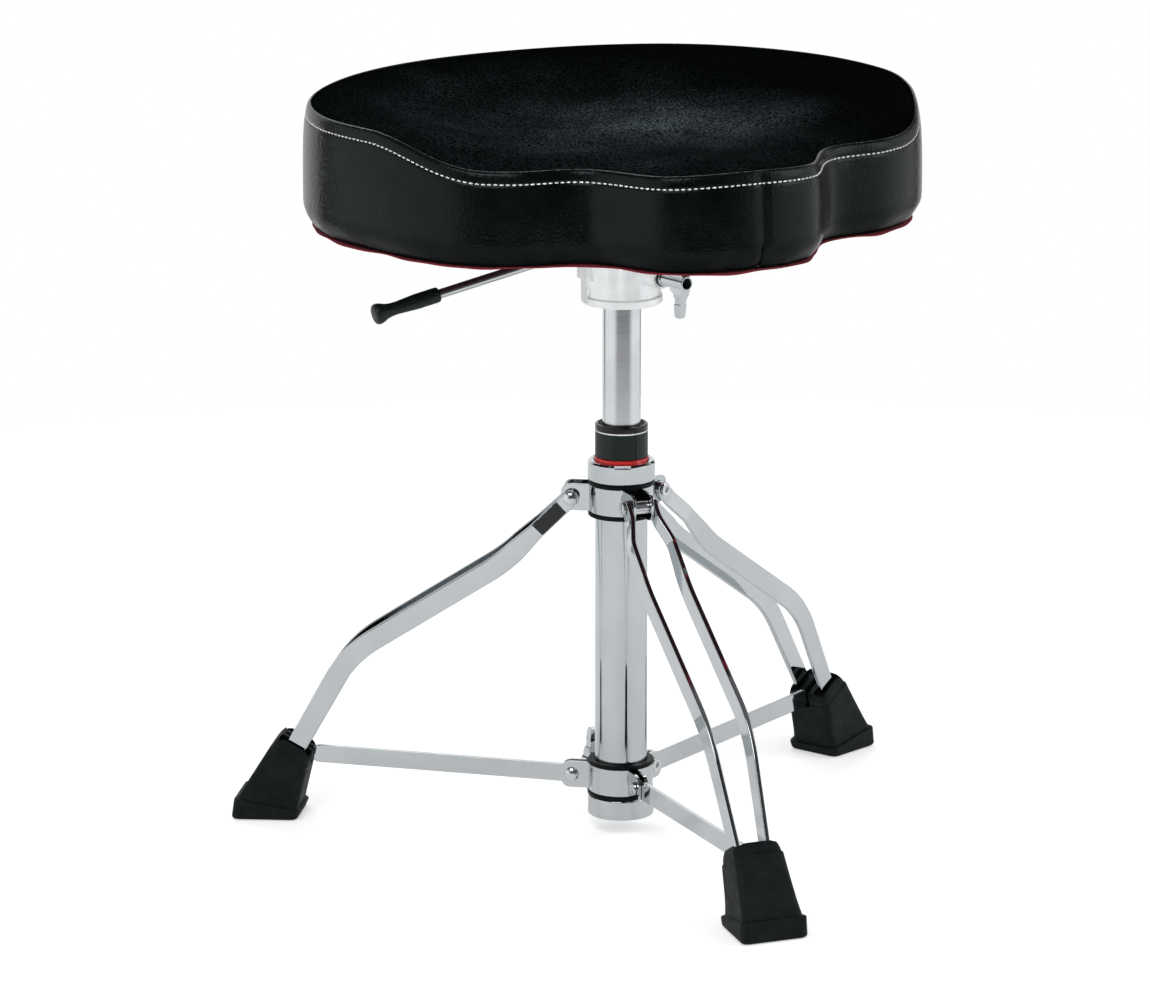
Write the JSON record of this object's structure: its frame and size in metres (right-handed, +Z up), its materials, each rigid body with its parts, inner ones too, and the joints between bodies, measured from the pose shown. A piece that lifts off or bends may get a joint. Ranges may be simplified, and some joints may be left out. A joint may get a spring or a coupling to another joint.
{
  "type": "drum_throne",
  "caption": "Drum throne: cloth-topped saddle seat on a gas lift with lever and clamp, on a folding chrome tripod of paired flat bars with rubber feet.",
  "frame": {"origin": "centre of the footprint box, on the floor", "axes": "+Z up; the front leg and the seat nose point along -Y; the column stands at x = 0, y = 0.04825"},
  "size_m": [0.5184, 0.4767, 0.5477],
  "materials": {
    "chrome": "bright chrome plating",
    "steel": "ground and polished steel",
    "cast_aluminium": "satin casting",
    "black_plastic": "satin black moulding",
    "red_plastic": "glossy red moulding",
    "rubber": "matte black moulded rubber",
    "cloth": "short-pile black velour",
    "vinyl": "fine-grained black vinyl with white top stitching",
    "lining": "crimson woven lining",
    "foam": "cut foam, hidden",
    "plywood": "bare plywood, hidden"
  },
  "bodies": {
    "column": {"column_tube": "chrome", "bottom_cap": "chrome", "thrust_bearing": "steel", "top_ring": "chrome", "guide_bush": "black_plastic", "accent_ring": "red_plastic", "upper_bush": "black_plastic", "upper_strap_1": "chrome", "upper_strap_2": "chrome", "upper_strap_3": "chrome", "upper_pivot_bolt_1": "steel", "upper_pivot_bolt_2": "steel", "upper_pivot_bolt_3": "steel", "upper_spacer_1": "steel", "upper_spacer_2": "steel", "upper_spacer_3": "steel"},
    "rod": {"piston_rod": "steel", "rod_clip": "steel"},
    "seat": {"gas_cylinder": "steel", "seat_hub": "cast_aluminium", "clamp_washer": "black_plastic", "lever_pin": "steel", "hub_bolt_1": "steel", "hub_bolt_2": "steel", "hub_bolt_3": "steel", "hub_bolt_4": "steel", "seat_board": "plywood", "foam_pad": "foam", "top_cover": "cloth", "side_cover": "vinyl", "underside_cover": "lining"},
    "lift_lever": {"lever_rod": "chrome", "lever_grip": "black_plastic"},
    "release_button": {"release_button": "steel"},
    "clamp_screw": {"clamp_screw": "chrome"},
    "collar": {"lower_bush": "black_plastic", "lower_strap_1": "chrome", "lower_strap_2": "chrome", "lower_strap_3": "chrome", "lower_pivot_bolt_1": "steel", "lower_pivot_bolt_2": "steel", "lower_pivot_bolt_3": "steel"},
    "lock_screw": {"lock_screw": "chrome"},
    "leg_1": {"leg_1_bar_a": "chrome", "leg_1_bar_b": "chrome", "leg_1_foot": "rubber"},
    "leg_2": {"leg_2_bar_a": "chrome", "leg_2_bar_b": "chrome", "leg_2_foot": "rubber"},
    "leg_3": {"leg_3_bar_a": "chrome", "leg_3_bar_b": "chrome", "leg_3_foot": "rubber"},
    "stay_1": {"stay_1": "chrome"},
    "stay_2": {"stay_2": "chrome"},
    "stay_3": {"stay_3": "chrome"}
  },
  "joints": [
    {"name": "seat_swivel", "type": "hinge", "parent": "column", "child": "rod", "pos_m": [0, 0.04825, 0.02], "axis": [0, 0, 1], "continuous": true},
    {"name": "seat_lift", "type": "slide", "parent": "rod", "child": "seat", "axis": [0, 0, 1], "range_m": [-0.05, 0.1]},
    {"name": "lever_lift", "type": "hinge", "parent": "seat", "child": "lift_lever", "pos_m": [-0.02197, 0.04718, 0.4385], "axis": [-0.0489, 0.9988, 0], "range_deg": [0, 8], "stiffness_Nm_per_rad": 1},
    {"name": "button_press", "type": "slide", "parent": "seat", "child": "release_button", "axis": [0, 0, -1], "range_m": [0, 0.0032]},
    {"name": "clamp_turn", "type": "hinge", "parent": "seat", "child": "clamp_screw", "pos_m": [0.01764, -0.0091, 0.42], "axis": [0.294, -0.9558, 0], "continuous": true},
    {"name": "collar_slide", "type": "slide", "parent": "column", "child": "collar", "axis": [0, 0, 1], "range_m": [0, 0.1198]},
    {"name": "lock_turn", "type": "hinge", "parent": "collar", "child": "lock_screw", "pos_m": [-0.00625, 0.0837, 0.0398], "axis": [-0.1736, 0.9848, 0], "continuous": true},
    {"name": "leg_1_fold", "type": "hinge", "parent": "column", "child": "leg_1", "pos_m": [0, 0.01275, 0.2504], "axis": [1, 0, 0], "range_deg": [0, 25]},
    {"name": "leg_2_fold", "type": "hinge", "parent": "column", "child": "leg_2", "pos_m": [0.03074, 0.066, 0.2504], "axis": [-0.5, 0.866, 0], "range_deg": [0, 25]},
    {"name": "leg_3_fold", "type": "hinge", "parent": "column", "child": "leg_3", "pos_m": [-0.03074, 0.066, 0.2504], "axis": [-0.5, -0.866, 0], "range_deg": [0, 25]},
    {"name": "stay_1_swing", "type": "hinge", "parent": "collar", "child": "stay_1", "pos_m": [0, 0.01245, 0.0398], "axis": [1, 0, 0], "range_deg": [0, 62.4]},
    {"name": "stay_2_swing", "type": "hinge", "parent": "collar", "child": "stay_2", "pos_m": [0.031, 0.06615, 0.0398], "axis": [-0.5, 0.866, 0], "range_deg": [0, 62.4]},
    {"name": "stay_3_swing", "type": "hinge", "parent": "collar", "child": "stay_3", "pos_m": [-0.031, 0.06615, 0.0398], "axis": [-0.5, -0.866, 0], "range_deg": [0, 62.4]}
  ],
  "couplings": [
    {"joint": "button_press", "follows": "lever_lift", "m_per_rad": 0.022},
    {"joint": "leg_1_fold", "follows": "collar_slide", "rad_per_m": 3.6396},
    {"joint": "leg_2_fold", "follows": "collar_slide", "rad_per_m": 3.6396},
    {"joint": "leg_3_fold", "follows": "collar_slide", "rad_per_m": 3.6396},
    {"joint": "stay_1_swing", "follows": "collar_slide", "rad_per_m": 9.0789},
    {"joint": "stay_2_swing", "follows": "collar_slide", "rad_per_m": 9.0789},
    {"joint": "stay_3_swing", "follows": "collar_slide", "rad_per_m": 9.0789}
  ]
}
